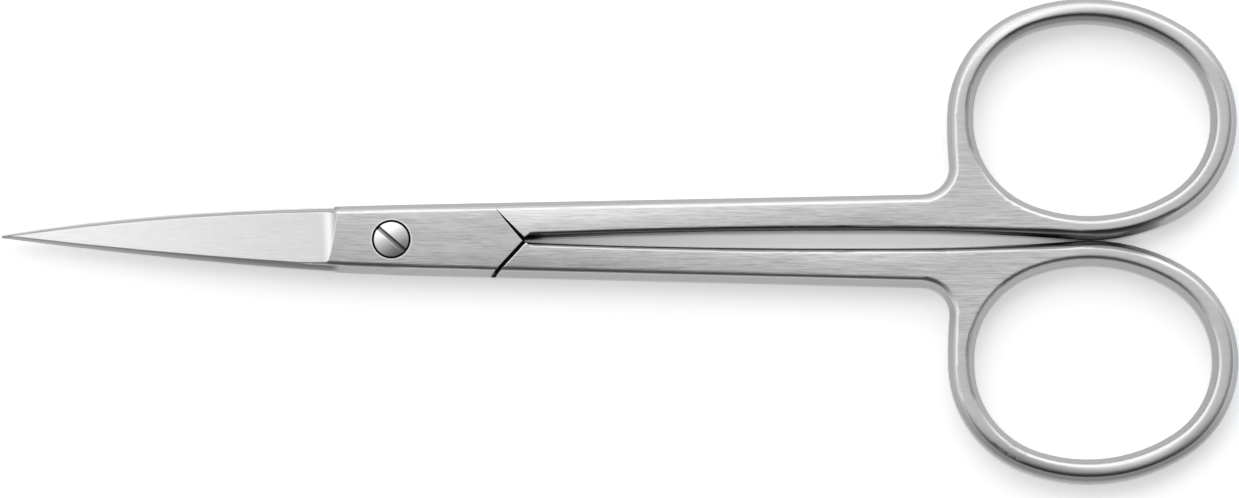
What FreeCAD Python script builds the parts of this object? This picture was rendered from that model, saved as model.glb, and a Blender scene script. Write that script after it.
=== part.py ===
"""Iris scissors, closed and lying flat on their back face.

Frame, in millimetres: the pivot axis is +Z through the origin, the back face is z = 0,
+X points to the finger rings, -X to the blade tips, +Z faces the viewer.

Both halves are the same forging. Each is drawn as a front half: blade, lap plate and
upper finger ring. The back half is turned half a turn about the X axis.
"""
import FreeCAD, Part
import math
import os
from FreeCAD import Matrix, Placement, Rotation, Vector

doc = FreeCAD.newDocument("IrisScissors")
sheet = doc.addObject("Spreadsheet::Sheet", "Sizes")

# Driving dimensions in millimetres and degrees: alias, value, what it measures
DRIVING_SIZES = (
    ("thickness", 3.4, "thickness of the joint, shanks and rings"),
    ("lap_clearance", 0.03, "gap between the sliding lap faces"),
    ("blade_reach", 36.3, "pivot to blade tip"),
    ("tip_half", 0.17, "half the height of the closed tips"),
    ("tip_rise", 0.43, "how far the closed tips stand off the centre line"),
    ("belly_reach", 14.0, "pivot to the fullest curve of the blade"),
    ("belly_half", 2.53, "half the blade height there"),
    ("belly_rise", 0.33, "how far the blades stand off the centre line there"),
    ("blade_joint", 10.0, "pivot to the end of the bevelled handle"),
    ("joint_start", 3.0, "pivot to the start of the straight shank edge"),
    ("joint_half", 3.28, "half the height of the joint there"),
    ("joint_rise", 0.1, "how far the joint stands off the centre line"),
    ("neck_reach", 47.0, "pivot to the end of the straight shank edge"),
    ("neck_half", 4.25, "centre line to the shank's outer edge there"),
    ("crotch_reach", 12.3, "pivot to the point of the lap plate"),
    ("lap_angle", 47.5, "angle of the lap plate's end from the centre line"),
    ("shoulder_gap", 0.36, "gap between the lap plate's end and the shoulder"),
    ("shank_start", 0.34, "crotch to the start of the shank's inner edge"),
    ("shank_start_half", 0.2, "half the gap between the shanks there"),
    ("lens_reach", 46.0, "pivot to the widest gap between the shanks"),
    ("lens_half", 0.72, "half the widest gap between the shanks"),
    ("lens_bow", 0.17, "bow of the inner edge before its widest point"),
    ("ring_reach", 65.2, "pivot to the middle of a finger ring"),
    ("ring_contact_half", 0.03, "half the gap between the closed rings"),
    ("ring_tilt", -1.3, "turn of a ring's long axis"),
    ("hole_half_length", 11.06, "half the length of a finger hole"),
    ("hole_half_width", 9.08, "half the width of a finger hole"),
    ("hole_far_radius", 8.12, "radius of the finger hole at its far end"),
    ("hole_side_radius", 14.7, "radius of the finger hole along its sides"),
    ("hole_corner_radius", 8.5, "radius of the finger hole at its near corners"),
    ("hole_near_radius", 38.0, "radius of the finger hole at its near end"),
    ("ring_side_wall", 2.25, "width of the ring along its sides"),
    ("ring_end_wall", 2.42, "width of the ring at its ends"),
    ("neck_radius", 2.6, "hollow radius between shank and ring"),
    ("bevel_height", 1.0, "height of the bevels round the edges"),
    ("outer_bevel", 0.56, "width of the bevel on outer edges"),
    ("inner_bevel", 0.2, "width of the bevel between the shanks"),
    ("ring_bevel", 0.56, "width of the bevels on a ring"),
    ("edge_round", 0.5, "rounding between a bevel and a face"),
    ("inner_round", 0.35, "the same rounding between the shanks"),
    ("grind_start", 6.28, "pivot to the start of the blade grind at the spine"),
    ("grind_radius", 2.1, "hollow radius where the grind runs out"),
    ("heel_depth", 0.5, "depth of the grind at the heel of the cutting edge"),
    ("tip_thickness", 0.5, "thickness of one blade at its tip"),
    ("edge_inset", 0.12, "cutting edge inside the other blade's spine"),
    ("edge_slope", 20.0, "lean of the cutting edge's own bevel"),
    ("edge_end", 5.3, "pivot to the end of the cutting edge"),
    ("spine_tip_height", 0.06, "height of the spine's wall at the tip"),
    ("groove_depth", 0.42, "depth of the lap line at the crotch"),
    ("groove_angle", 25.0, "half the angle of the lap line's sides"),
    ("groove_run", 4.5, "length over which the lap line runs out"),
    ("pin_radius", 1.1, "radius of the screw's shank"),
    ("pin_clearance", 0.03, "running gap round the screw's shank"),
    ("head_radius", 1.64, "radius of the screw's head"),
    ("head_clearance", 0.13, "gap round the screw's head"),
    ("head_height", 0.85, "height of the screw's head at its rim"),
    ("head_dome", 0.1, "rise of the head's dome"),
    ("head_sink", 0.06, "rim of the head below the front face"),
    ("slot_width", 0.46, "width of the driver slot"),
    ("slot_depth", 0.42, "depth of the driver slot"),
    ("slot_turn", -41.0, "direction of the driver slot"),
    ("pin_end_chamfer", 0.15, "chamfer on the screw's end"),
)


def fill_sheet():
    """Write each driving size in its own row with its alias."""
    for row, (alias, value, note) in enumerate(DRIVING_SIZES, start=1):
        sheet.set("A%d" % row, alias)
        sheet.set("B%d" % row, str(value))
        sheet.setAlias("B%d" % row, alias)
        sheet.set("C%d" % row, note)
    doc.recompute()


fill_sheet()


def size(alias):
    """One driving size from the sheet."""
    return float(sheet.get(alias))


THICKNESS = size("thickness")
LAP_PLANE = THICKNESS / 2 + size("lap_clearance") / 2

# How far cutting tools run past the work: most of them, and the tools of the finger holes
MARGIN = 2.0
HOLE_OVERSHOOT = 0.05

# Closer than this, two places count as one
SAME_PLACE = 1e-6


def polar(angle_deg, radius=1.0):
    """Vector of the given direction and length in the XY plane."""
    angle = math.radians(angle_deg)
    return Vector(radius * math.cos(angle), radius * math.sin(angle), 0)


def unit(vector):
    """Copy of the vector with length one."""
    copy = Vector(vector)
    copy.normalize()
    return copy


def turned(vector, angle_deg):
    """Copy of the vector turned about Z."""
    return Rotation(Vector(0, 0, 1), angle_deg).multVec(vector)


def arc(start, middle, end):
    """Arc through three points, always counter-clockwise, as a sketch holds it."""
    if (middle - start).cross(end - middle).z < 0:
        start, end = end, start
    circle = Part.Circle(start, middle, end)
    return Part.ArcOfCircle(circle, circle.parameter(start), circle.parameter(end))


def arc_about(centre, radius, start, end):
    """Short arc about a centre from one point to another."""
    bisector = unit(unit(start - centre) + unit(end - centre))
    return arc(start, centre + bisector * radius, end)


def tangent_point(centre, radius, other_centre):
    """Point of a circle on the line from another centre through its own."""
    return centre + unit(centre - other_centre) * radius


class Oval:
    """Finger ring contour: a far end, two sides, two near corners and a near end, all arcs.

    grow is the distance outside the finger hole along the sides, end_grow at the ends.
    """

    def __init__(self, centre, grow, end_grow):
        self.side_radius = size("hole_side_radius") + grow
        self.far_radius = size("hole_far_radius") + grow
        self.corner_radius = size("hole_corner_radius") + grow
        self.near_radius = size("hole_near_radius") + end_grow
        half_length = size("hole_half_length") + end_grow
        half_width = size("hole_half_width") + grow
        far = Vector(half_length - self.far_radius, 0, 0)
        drop = half_width - self.side_radius
        reach = math.sqrt((self.side_radius - self.far_radius) ** 2 - drop ** 2)
        side = Vector(far.x - reach, drop, 0)
        near = Vector(self.near_radius - half_length, 0, 0)
        corner = self.corner_centre(side, near)
        tilt = size("ring_tilt")
        self.far = centre + turned(far, tilt)
        self.near = centre + turned(near, tilt)
        self.top_side = centre + turned(side, tilt)
        self.top_corner = centre + turned(corner, tilt)
        self.low_side = centre + turned(Vector(side.x, -side.y, 0), tilt)
        self.low_corner = centre + turned(Vector(corner.x, -corner.y, 0), tilt)
        self.far_point = centre + turned(Vector(half_length, 0, 0), tilt)

    def corner_centre(self, side, near):
        """Centre of the near corner's arc, tangent inside the side arc and the near arc."""
        from_side = self.side_radius - self.corner_radius
        from_near = self.near_radius - self.corner_radius
        span = near - side
        along = (from_side ** 2 - from_near ** 2 + span.Length ** 2) / (2 * span.Length)
        across = math.sqrt(from_side ** 2 - along ** 2)
        direction = unit(span)
        return side + direction * along + turned(direction, 90) * across

    def far_top(self):
        return tangent_point(self.far, self.far_radius, self.top_side)

    def far_low(self):
        return tangent_point(self.far, self.far_radius, self.low_side)

    def corner_top(self):
        return tangent_point(self.top_corner, self.corner_radius, self.top_side)

    def corner_low(self):
        return tangent_point(self.low_corner, self.corner_radius, self.low_side)

    def near_top(self):
        return tangent_point(self.top_corner, self.corner_radius, self.near)

    def near_low(self):
        return tangent_point(self.low_corner, self.corner_radius, self.near)

    def closed(self):
        """All six arcs, as one closed contour."""
        return [
            arc_about(self.far, self.far_radius, self.far_low(), self.far_point),
            arc_about(self.far, self.far_radius, self.far_point, self.far_top()),
            arc_about(self.top_side, self.side_radius, self.far_top(), self.corner_top()),
            arc_about(self.top_corner, self.corner_radius, self.corner_top(), self.near_top()),
            arc_about(self.near, self.near_radius, self.near_top(), self.near_low()),
            arc_about(self.low_corner, self.corner_radius, self.near_low(), self.corner_low()),
            arc_about(self.low_side, self.side_radius, self.corner_low(), self.far_low()),
        ]


def ring_centre():
    """Middle of the upper ring, set so that the closed rings just meet."""
    wall = size("ring_side_wall")
    trial = Oval(Vector(size("ring_reach"), 0, 0), wall, size("ring_end_wall"))
    height = size("ring_contact_half") + trial.side_radius - trial.low_side.y
    return Vector(size("ring_reach"), height, 0)


RING_CENTRE = ring_centre()


def circle_through(start, middle, end):
    """Centre and radius of the circle through three points."""
    circle = Part.Circle(start, middle, end)
    return circle.Center, circle.Radius


class LongEdge:
    """One long edge of the closed halves: straight along the shank, then two arcs to the tip.

    side is 1 for the upper edge and -1 for the lower one. rise is 1 for the front half and
    -1 for the back half, which is drawn turned over. The closed blades stand a little above
    the centre line.
    """

    def __init__(self, side, rise, inset=0.0):
        lean = side * rise
        narrow = 1 - inset / size("joint_half")
        joint_y = size("joint_half") + lean * size("joint_rise") - inset
        belly_y = size("belly_half") * narrow + lean * size("belly_rise")
        tip_y = size("tip_half") * narrow + lean * size("tip_rise")
        self.side = side
        self.joint = Vector(size("joint_start"), joint_y, 0)
        self.belly = Vector(-size("belly_reach"), belly_y, 0)
        self.tip = Vector(size("tip_half") - size("blade_reach"), tip_y, 0)
        neck = Vector(size("neck_reach"), size("neck_half") - inset, 0)
        self.direction = unit(neck - self.joint)
        self.root = self.next_circle(self.joint, turned(self.direction, 90), self.belly)
        self.fore = self.next_circle(self.belly, unit(self.belly - self.root[0]), self.tip)

    def next_circle(self, start, outward, end):
        """Circle square to a direction at its start, through its end."""
        span = end - start
        radius = -span.dot(span) / (2 * span.dot(outward))
        return start - outward * radius, radius

    def point(self, x):
        """Point of the edge at a place along the blade or joint."""
        centre, radius = self.root if x >= self.belly.x else self.fore
        height = centre.y + math.sqrt(radius ** 2 - (x - centre.x) ** 2)
        return Vector(x, self.side * height, 0)

    def arc_between(self, first_x, last_x):
        """Arc of the edge between two places on one side of the belly."""
        middle = self.point((first_x + last_x) / 2)
        return arc(self.point(first_x), middle, self.point(last_x))


def handle_outline(rise, inset, inner_inset, ring_inset):
    """Outline of one half without its blade, drawn as the front half.

    rise is 1 for the front half and -1 for the back half. The insets narrow the outline
    on outer edges, between the shanks and on the ring.
    """
    ring = Oval(RING_CENTRE, size("ring_side_wall") - ring_inset, size("ring_end_wall") - ring_inset)
    upper = LongEdge(1, rise, inset)
    lower = LongEdge(-1, rise, inset)
    joint = upper.joint
    joint_end = -size("blade_joint")

    # Lap plate: its lower edge meets the slanted end, which runs up to the crotch
    crotch = Vector(size("crotch_reach"), 0, 0)
    lap_slope = math.tan(math.radians(size("lap_angle")))
    edge_slope = lower.direction.y / lower.direction.x
    corner_y = lower.joint.y + edge_slope * (crotch.x - joint.x)
    corner_y = corner_y / (1 + edge_slope / lap_slope)
    lap_corner = Vector(crotch.x - corner_y / lap_slope, -corner_y, 0)

    # Shank's inner edge: two shallow arcs, the second running into the ring
    lens = Vector(size("lens_reach"), size("lens_half") + inner_inset, 0)
    start_y = size("shank_start_half") + inner_inset
    inner_start = Vector(crotch.x + size("shank_start"), start_y, 0)
    inner_middle = (inner_start + lens) * 0.5 + Vector(0, size("lens_bow"), 0)
    run = ring.low_side.x - lens.x
    rise_to_side = ring.low_side.y - lens.y
    lens_radius = (run ** 2 + rise_to_side ** 2 - ring.side_radius ** 2)
    lens_radius = lens_radius / (2 * (ring.side_radius - rise_to_side))
    lens_centre = Vector(lens.x, lens.y - lens_radius, 0)
    ring_meeting = lens_centre + unit(ring.low_side - lens_centre) * lens_radius

    # Neck: a hollow arc tangent to the shank's outer edge and the ring's near end
    neck_radius = size("neck_radius") + inset
    shank = upper.direction
    outward = turned(shank, 90)
    base = joint + outward * neck_radius - ring.near
    reach = ring.near_radius + neck_radius
    along = -base.dot(shank) - math.sqrt(base.dot(shank) ** 2 - base.dot(base) + reach ** 2)
    neck_centre = ring.near + base + shank * along
    neck_on_shank = neck_centre - outward * neck_radius
    neck_on_ring = neck_centre + unit(ring.near - neck_centre) * neck_radius

    return [
        lower.arc_between(joint_end, joint.x),
        Part.LineSegment(lower.point(joint.x), lap_corner),
        Part.LineSegment(lap_corner, crotch),
        Part.LineSegment(crotch, inner_start),
        arc(inner_start, inner_middle, lens),
        arc_about(lens_centre, lens_radius, lens, ring_meeting),
        arc_about(ring.low_side, ring.side_radius, ring_meeting, ring.far_low()),
        arc_about(ring.far, ring.far_radius, ring.far_low(), ring.far_point),
        arc_about(ring.far, ring.far_radius, ring.far_point, ring.far_top()),
        arc_about(ring.top_side, ring.side_radius, ring.far_top(), ring.corner_top()),
        arc_about(ring.top_corner, ring.corner_radius, ring.corner_top(), ring.near_top()),
        arc_about(ring.near, ring.near_radius, ring.near_top(), neck_on_ring),
        arc_about(neck_centre, neck_radius, neck_on_ring, neck_on_shank),
        Part.LineSegment(neck_on_shank, joint),
        upper.arc_between(joint.x, joint_end),
        Part.LineSegment(upper.point(joint_end), lower.point(joint_end)),
    ]


def add_sketch(name, geometry, height_expression):
    """Flat sketch at a height that follows the sheet."""
    sketch = doc.addObject("Sketcher::SketchObject", name)
    sketch.addGeometry(geometry, False)
    sketch.setExpression("Placement.Base.z", height_expression)
    return sketch


def add_ruled_solid(name, sketches):
    """Solid with straight flanks between stacked sketches."""
    loft = doc.addObject("Part::Loft", name)
    loft.Sections = sketches
    loft.Solid = True
    loft.Ruled = True
    return loft


def add_cut(name, base, tool):
    cut = doc.addObject("Part::Cut", name)
    cut.Base = base
    cut.Tool = tool
    return cut


def add_bevelled_blank(name, contour, overshoot):
    """Full-thickness solid: upright waist, bevels to both faces.

    contour gives the geometry for a bevel share of 0 at the waist and 1 at the faces.
    A tool overshoots both faces along its bevels; a workpiece has no overshoot.
    """
    share = 1 + overshoot / size("bevel_height")
    heights = (
        ("%s_low_face" % name, share, "-%g" % overshoot),
        ("%s_low_waist" % name, 0, "Sizes.bevel_height"),
        ("%s_high_waist" % name, 0, "Sizes.thickness - Sizes.bevel_height"),
        ("%s_high_face" % name, share, "Sizes.thickness + %g" % overshoot),
    )
    sketches = [add_sketch(label, contour(part), height) for label, part, height in heights]
    return add_ruled_solid(name, sketches)


def add_blank(name, rise):
    """Forged blank of one half, before any grinding, with its finger hole."""
    def outline(share):
        return handle_outline(
            rise,
            share * size("outer_bevel"),
            share * size("inner_bevel"),
            share * size("ring_bevel"),
        )

    def hole(share):
        grow = share * size("ring_bevel")
        return Oval(RING_CENTRE, grow, grow).closed()

    body = add_bevelled_blank("%s_bevelled" % name, outline, 0)
    finger_hole = add_bevelled_blank("%s_finger_hole" % name, hole, HOLE_OVERSHOOT)
    return add_cut("%s_blank" % name, body, finger_hole)


def add_blade_blank(name, rise):
    """Full-thickness blade from its rounded tip to the joint, before grinding."""
    upper = LongEdge(1, rise)
    lower = LongEdge(-1, rise)
    joint_end = -size("blade_joint")
    belly = -size("belly_reach")
    tip = upper.tip.x
    tip_end = Vector(-size("blade_reach"), rise * size("tip_rise"), 0)
    outline = [
        upper.arc_between(joint_end, belly),
        upper.arc_between(belly, tip),
        arc(upper.point(tip), tip_end, lower.point(tip)),
        lower.arc_between(tip, belly),
        lower.arc_between(belly, joint_end),
        Part.LineSegment(lower.point(joint_end), upper.point(joint_end)),
    ]
    sketch = add_sketch("%s_blade_outline" % name, outline, "0 mm")
    blade = doc.addObject("Part::Extrusion", "%s_blade" % name)
    blade.Base = sketch
    blade.DirMode = "Custom"
    blade.Dir = Vector(0, 0, 1)
    blade.setExpression("LengthFwd", "Sizes.thickness")
    blade.Solid = True
    return blade


def add_prism(name, points, bottom, top):
    """Upright prism on a closed polygon between two heights."""
    corners = [Vector(x, y, 0) for x, y in points]
    edges = [Part.LineSegment(a, b) for a, b in zip(corners, corners[1:] + corners[:1])]
    sketch = doc.addObject("Sketcher::SketchObject", "%s_sketch" % name)
    sketch.addGeometry(edges, False)
    sketch.Placement = Placement(Vector(0, 0, bottom), Rotation())
    prism = doc.addObject("Part::Extrusion", name)
    prism.Base = sketch
    prism.DirMode = "Custom"
    prism.Dir = Vector(0, 0, 1)
    prism.LengthFwd = top - bottom
    prism.Solid = True
    return prism


def add_lap_cut(name):
    """Clears the back layer from the tip to the shoulder at the shank."""
    lap_angle = math.radians(size("lap_angle"))
    shoulder = size("crotch_reach") + size("shoulder_gap") / math.sin(lap_angle)
    width = size("joint_half") + 2 * MARGIN
    tip = size("blade_reach") + MARGIN
    points = (
        (-tip, -width),
        (shoulder, -width),
        (shoulder, 0),
        (shoulder - width / math.tan(lap_angle), width),
        (-tip, width),
    )
    return add_prism("%s_lap" % name, points, -MARGIN, LAP_PLANE)


def grind_placement():
    """Where the grinding plane lies: spine edge and cutting edge at the heel, then the tip."""
    spine_y = size("outer_bevel") - size("joint_half")
    heel = Vector(-size("grind_start"), spine_y, THICKNESS)
    blade_height = 2 * size("joint_half") - size("outer_bevel") - size("edge_inset")
    across = Vector(0, blade_height, -size("heel_depth"))
    tip = Vector(-size("blade_reach"), 0, LAP_PLANE + size("tip_thickness"))
    along = tip - heel
    normal = unit(across.cross(along))
    toward_tip = unit(along - across * (along.dot(across) / across.dot(across)))
    side = normal.cross(toward_tip)
    matrix = Matrix(
        toward_tip.x, side.x, normal.x, heel.x,
        toward_tip.y, side.y, normal.y, heel.y,
        toward_tip.z, side.z, normal.z, heel.z,
        0, 0, 0, 1,
    )
    return Placement(matrix)


def add_face_grind(name):
    """Grinding tool for the blade's front face, rounded where it runs out at the heel."""
    box = doc.addObject("Part::Box", "%s_grind_block" % name)
    radius = size("grind_radius")
    width = 4 * size("joint_half")
    box.Length = size("blade_reach") + radius
    box.Width = width
    box.Height = THICKNESS
    box.Placement = Placement(Vector(-radius, -width / 2, 0), Rotation())
    doc.recompute()
    tool = doc.addObject("Part::Fillet", "%s_grind" % name)
    tool.Base = box
    for number, edge in enumerate(box.Shape.Edges, start=1):
        middle = edge.CenterOfMass
        if abs(middle.x + radius) < SAME_PLACE and abs(middle.z) < SAME_PLACE:
            tool.Edges = [(number, radius, radius)]
    tool.Placement = grind_placement()
    return tool


def add_outside_cone(name, contour, wall_height, slope_deg, pitch_deg, inset, overrun):
    """Tool that leaves a blade contour with a leaning wall.

    contour is three points of the blade's edge in plan, the last at the heel. The wall
    is upright to wall_height at the heel and leans inwards above it. pitch lowers the
    lean towards the tip, and the tool runs on past the heel by the overrun.
    """
    centre, radius = circle_through(*contour)
    radius = radius - inset
    reach = 2 * THICKNESS
    lean = reach * math.tan(math.radians(slope_deg))
    cone = doc.addObject("Part::Cone", "%s_cone" % name)
    cone.Radius1 = radius + lean
    cone.Radius2 = radius - lean
    cone.Height = 2 * reach
    cone.Placement = Placement(Vector(centre.x, centre.y, wall_height - reach), Rotation())
    heel = contour[-1]
    tip = contour[0]
    block = doc.addObject("Part::Box", "%s_block" % name)
    block.Length = heel.x + overrun - tip.x + MARGIN
    block.Width = 2 * MARGIN + abs(heel.y - tip.y)
    block.Height = reach
    low_y = min(heel.y, tip.y) - MARGIN
    block.Placement = Placement(Vector(tip.x - MARGIN, low_y, wall_height - reach / 2), Rotation())
    outside = add_cut("%s_outside" % name, block, cone)
    swing = Rotation(Vector(0, 1, 0), -pitch_deg)
    pivot = Vector(heel.x, 0, wall_height)
    outside.Placement = Placement(pivot - swing.multVec(pivot), swing)
    return outside


def add_edge_grind(name, rise):
    """Leaning wall of the cutting edge, from the tip to the heel."""
    edge = LongEdge(1, rise)
    contour = (edge.tip, edge.point(-size("belly_reach")), edge.point(-size("edge_end")))
    return add_outside_cone(
        "%s_edge" % name, contour, LAP_PLANE, size("edge_slope"), 0, size("edge_inset"), 0
    )


def add_spine_grind(name, rise):
    """Leaning facet along the blade's spine: the handle's bevel, lower towards the tip."""
    edge = LongEdge(-1, rise)
    tip = edge.point(edge.tip.x)
    contour = (tip, edge.point(-size("belly_reach")), edge.point(-size("blade_joint")))
    slope = math.degrees(math.atan2(size("outer_bevel"), size("bevel_height")))
    heel_height = THICKNESS - size("bevel_height")
    drop = heel_height - LAP_PLANE - size("spine_tip_height")
    pitch = math.degrees(math.atan2(drop, contour[2].x - tip.x))
    return add_outside_cone("%s_spine" % name, contour, heel_height, slope, pitch, 0, MARGIN)


def add_lap_line(name):
    """Tapered groove that carries the lap line across the shank, deepest at the crotch."""
    depth = size("groove_depth")
    run = size("groove_run")
    half_width = (depth + MARGIN) * math.tan(math.radians(size("groove_angle")))
    corners = (Vector(0, 0, 0), Vector(0, half_width, depth + MARGIN), Vector(0, -half_width, depth + MARGIN))
    edges = [Part.makeLine(a, b) for a, b in zip(corners, corners[1:] + corners[:1])]
    profile = doc.addObject("Part::Feature", "%s_lap_line_profile" % name)
    profile.Shape = Part.Face(Part.Wire(edges))
    groove = doc.addObject("Part::Extrusion", "%s_lap_line" % name)
    groove.Base = profile
    groove.DirMode = "Custom"
    groove.Dir = Vector(1, 0, 0)
    groove.LengthFwd = run + depth
    groove.LengthRev = depth
    groove.Solid = True
    climb = math.degrees(math.atan2(depth, run))
    direction = Rotation(Vector(0, 0, 1), 180 - size("lap_angle"))
    pitch = Rotation(Vector(0, 1, 0), -climb)
    start = Vector(size("crotch_reach"), 0, THICKNESS - depth)
    groove.Placement = Placement(start, direction.multiply(pitch))
    return groove


def round_face_edges(name, base):
    """Round the edges between the bevels and both faces, apart from the lap plate's end.

    The rounding is smaller between the shanks, and grows where they run into the ring.
    """
    doc.recompute()
    fillet = doc.addObject("Part::Fillet", name)
    fillet.Base = base
    outer_round = size("edge_round")
    inner_round = size("inner_round")
    crotch = size("crotch_reach")
    chosen = []
    for number, edge in enumerate(base.Shape.Edges, start=1):
        box = edge.BoundBox
        flat = box.ZLength < SAME_PLACE
        on_face = abs(box.ZMin) < SAME_PLACE or abs(box.ZMin - THICKNESS) < SAME_PLACE
        slanted_end = box.XMin > size("joint_start") and box.YMin < -SAME_PLACE
        joint_end = box.XMax < SAME_PLACE - size("blade_joint")
        short = edge.Length < 2 * size("shank_start")
        if not flat or not on_face or slanted_end or short or joint_end:
            continue
        radii = (outer_round, outer_round)
        if box.XMin > crotch and box.YMax < size("neck_half") / 2:
            grown = [vertex.X > size("lens_reach") + MARGIN / 2 for vertex in edge.Vertexes]
            radii = [outer_round if past_lens else inner_round for past_lens in grown]
        chosen.append((number, *radii))
    fillet.Edges = chosen
    return fillet


def add_half(name, rise):
    """One half up to its screw hole, drawn as a front half."""
    blank = add_blank(name, rise)
    handle = round_face_edges("%s_handle" % name, blank)
    forging = doc.addObject("Part::Fuse", "%s_forging" % name)
    forging.Base = handle
    forging.Tool = add_blade_blank(name, rise)
    lapped = add_cut("%s_lapped" % name, forging, add_lap_cut(name))
    faced = add_cut("%s_faced" % name, lapped, add_face_grind(name))
    spined = add_cut("%s_spined" % name, faced, add_spine_grind(name, rise))
    edged = add_cut("%s_edged" % name, spined, add_edge_grind(name, rise))
    return add_cut("%s_lined" % name, edged, add_lap_line(name))


def add_cylinder(name, radius_expression, height_expression, base_expression):
    """Upright cylinder on the pivot axis, all its sizes bound to the sheet."""
    cylinder = doc.addObject("Part::Cylinder", name)
    cylinder.setExpression("Radius", radius_expression)
    cylinder.setExpression("Height", height_expression)
    cylinder.setExpression("Placement.Base.z", base_expression)
    return cylinder


def add_front_half():
    """Front half with its running hole and the seat of the screw's head."""
    half = add_half("front", 1)
    bore = add_cylinder(
        "front_bore", "Sizes.pin_radius + Sizes.pin_clearance", "Sizes.thickness * 2", "0 mm"
    )
    seat = add_cylinder(
        "front_seat",
        "Sizes.head_radius + Sizes.head_clearance",
        "Sizes.thickness",
        "Sizes.thickness - Sizes.head_sink - Sizes.head_height",
    )
    hole = doc.addObject("Part::Fuse", "front_hole")
    hole.Base = bore
    hole.Tool = seat
    front = add_cut("front_half", half, hole)
    front.Label = "front_half"
    return front


def add_back_half():
    """Back half with its threaded hole, turned over about the X axis."""
    half = add_half("back", -1)
    bore = add_cylinder("back_bore", "Sizes.pin_radius", "Sizes.thickness * 2", "0 mm")
    back = add_cut("back_half", half, bore)
    back.Label = "back_half"
    back.Placement = Placement(Vector(0, 0, THICKNESS), Rotation(Vector(1, 0, 0), 180))
    return back


def add_screw():
    """Pivot screw: turned profile with a domed head, and a driver slot across it."""
    head_top = THICKNESS - size("head_sink")
    head_base = head_top - size("head_height")
    crown = head_top + size("head_dome")
    pin = size("pin_radius")
    head = size("head_radius")
    chamfer = size("pin_end_chamfer")

    body = doc.addObject("PartDesign::Body", "screw")
    body.Label = "screw"
    planes = {feature.Role: feature for feature in body.Origin.OriginFeatures}
    profile = body.newObject("Sketcher::SketchObject", "screw_profile")
    profile.AttachmentSupport = [(planes["XZ_Plane"], "")]
    profile.MapMode = "FlatFace"
    corners = [
        Vector(0, 0, 0),
        Vector(pin - chamfer, 0, 0),
        Vector(pin, chamfer, 0),
        Vector(pin, head_base, 0),
        Vector(head, head_base, 0),
        Vector(head, head_top, 0),
    ]
    crown_point = Vector(0, crown, 0)
    dome_radius = (head ** 2 + size("head_dome") ** 2) / (2 * size("head_dome"))
    dome_centre = Vector(0, crown - dome_radius, 0)
    for start, end in zip(corners, corners[1:]):
        profile.addGeometry(Part.LineSegment(start, end), False)
    profile.addGeometry(arc_about(dome_centre, dome_radius, corners[-1], crown_point), False)
    profile.addGeometry(Part.LineSegment(crown_point, corners[0]), False)

    turning = body.newObject("PartDesign::Revolution", "screw_turning")
    turning.Profile = profile
    turning.ReferenceAxis = (profile, ["V_Axis"])
    turning.Angle = 360
    doc.recompute()

    slot_sketch = body.newObject("Sketcher::SketchObject", "slot_sketch")
    slot_sketch.AttachmentSupport = [(planes["XY_Plane"], "")]
    slot_sketch.MapMode = "FlatFace"
    slot_sketch.setExpression("AttachmentOffset.Base.z", "Sizes.thickness + Sizes.head_dome")
    along = polar(size("slot_turn"), head + 1)
    across = turned(polar(size("slot_turn")), 90) * (size("slot_width") / 2)
    slot_corners = [along + across, across - along, -across - along, along - across]
    for start, end in zip(slot_corners, slot_corners[1:] + slot_corners[:1]):
        slot_sketch.addGeometry(Part.LineSegment(start, end), False)
    slot = body.newObject("PartDesign::Pocket", "driver_slot")
    slot.Profile = slot_sketch
    slot.setExpression("Length", "Sizes.slot_depth + Sizes.head_sink")
    doc.recompute()
    return body


def check_and_write(pieces):
    """Stop on any failed feature or bad solid, then write each piece."""
    doc.recompute()
    for item in doc.Objects:
        if "Invalid" in item.State or "Error" in item.State:
            raise RuntimeError("%s did not compute: %s" % (item.Name, item.State))
    for piece in pieces:
        if piece.Shape.isNull() or not piece.Shape.isValid():
            raise RuntimeError("%s has no valid shape" % piece.Label)
    os.makedirs("parts", exist_ok=True)
    for piece in pieces:
        piece.Shape.exportStep("parts/%s.step" % piece.Label)
        box = piece.Shape.BoundBox
        solids = len(piece.Shape.Solids)
        print("%s: %d solid, %.1f mm3" % (piece.Label, solids, piece.Shape.Volume))
        print("  x %.2f to %.2f, y %.2f to %.2f" % (box.XMin, box.XMax, box.YMin, box.YMax))
        print("  z %.2f to %.2f" % (box.ZMin, box.ZMax))


check_and_write([add_front_half(), add_back_half(), add_screw()])
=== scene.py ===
"""Iris scissors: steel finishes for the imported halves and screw, lying on a white studio floor."""

import math
from types import SimpleNamespace

import bpy
from mathutils import Matrix, Vector


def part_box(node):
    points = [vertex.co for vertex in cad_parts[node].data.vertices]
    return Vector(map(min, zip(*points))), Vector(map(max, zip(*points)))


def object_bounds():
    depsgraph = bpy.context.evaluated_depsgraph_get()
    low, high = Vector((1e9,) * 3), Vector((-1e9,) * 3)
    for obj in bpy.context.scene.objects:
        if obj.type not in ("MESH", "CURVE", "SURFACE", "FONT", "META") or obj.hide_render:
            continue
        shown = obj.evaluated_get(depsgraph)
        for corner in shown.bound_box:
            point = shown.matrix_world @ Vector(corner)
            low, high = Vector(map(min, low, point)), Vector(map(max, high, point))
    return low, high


bl_info = {
    "name": "Iris Scissors Finish",
    "version": (1, 0, 0),
    "blender": (4, 5, 0),
    "location": "View3D > Sidebar > Scissors",
    "description": "Brushed steel finishes, studio floor and light for iris scissors",
    "category": "Object",
}

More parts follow.
